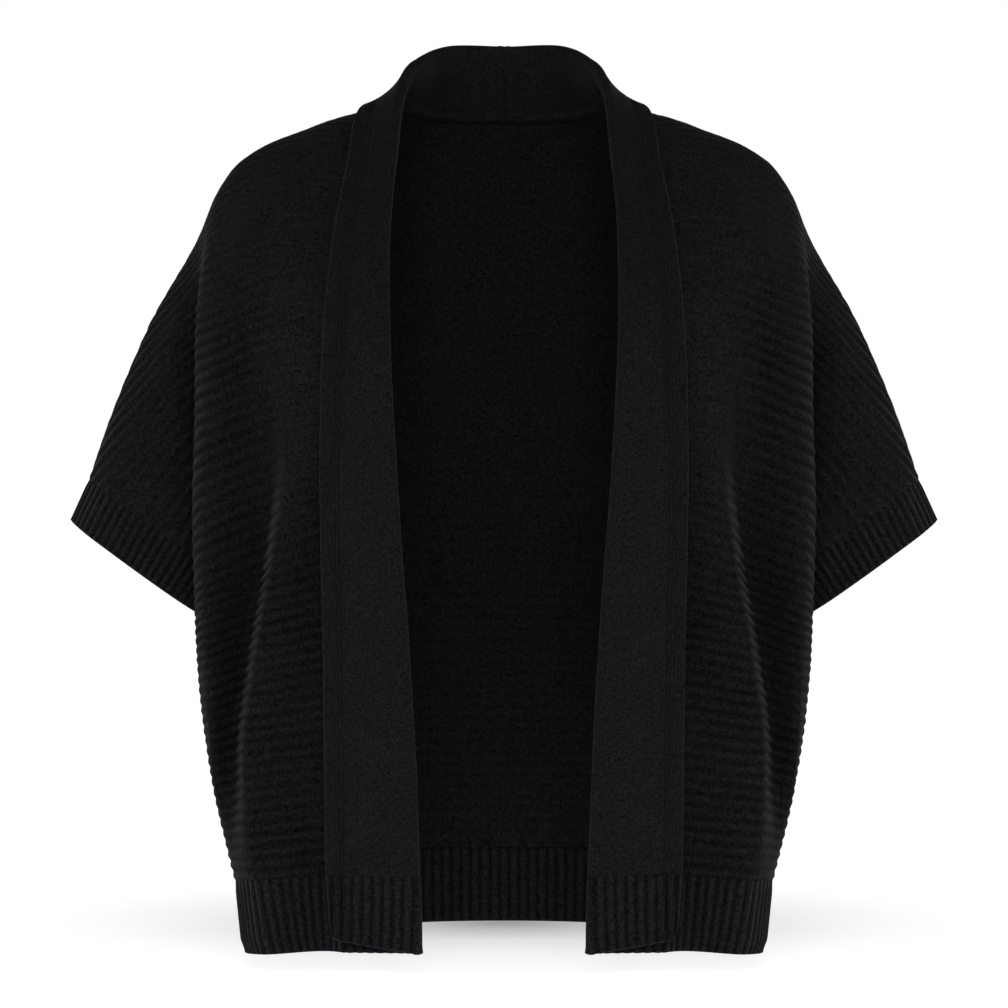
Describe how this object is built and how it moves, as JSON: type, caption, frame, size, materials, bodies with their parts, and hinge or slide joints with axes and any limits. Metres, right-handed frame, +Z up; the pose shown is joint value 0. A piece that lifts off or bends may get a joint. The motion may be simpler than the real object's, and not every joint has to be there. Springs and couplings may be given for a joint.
{
  "type": "open-front cardigan",
  "caption": "Open-front ridged-knit cardigan with grown-on cape sleeves, ribbed hem and cuffs and a turned-out shawl band, in its worn hollow shape.",
  "frame": {"origin": "midway between the two shoulder points, at the height where the shoulder seams meet the band; the wearer's shoulders carry the garment there", "axes": "+Z up along the wearer, -Y out of the open front, +X towards the wearer's left"},
  "size_m": [0.6482, 0.2454, 0.6865],
  "materials": {
    "ridge_knit": "matte wool knit in raised cross rows, near black",
    "plain_knit": "fine smooth brushed wool knit, near black",
    "rib_knit": "matte ribbed wool knit, near black"
  },
  "bodies": {
    "root": {"back": "ridge_knit", "front_left": "ridge_knit", "front_right": "ridge_knit", "band_left": "plain_knit", "band_right": "plain_knit", "band_hem_left": "rib_knit", "band_hem_right": "rib_knit", "hem_back": "rib_knit", "hem_front_left": "rib_knit", "hem_front_right": "rib_knit", "cuff_left": "rib_knit", "cuff_right": "rib_knit"}
  },
  "joints": []
}
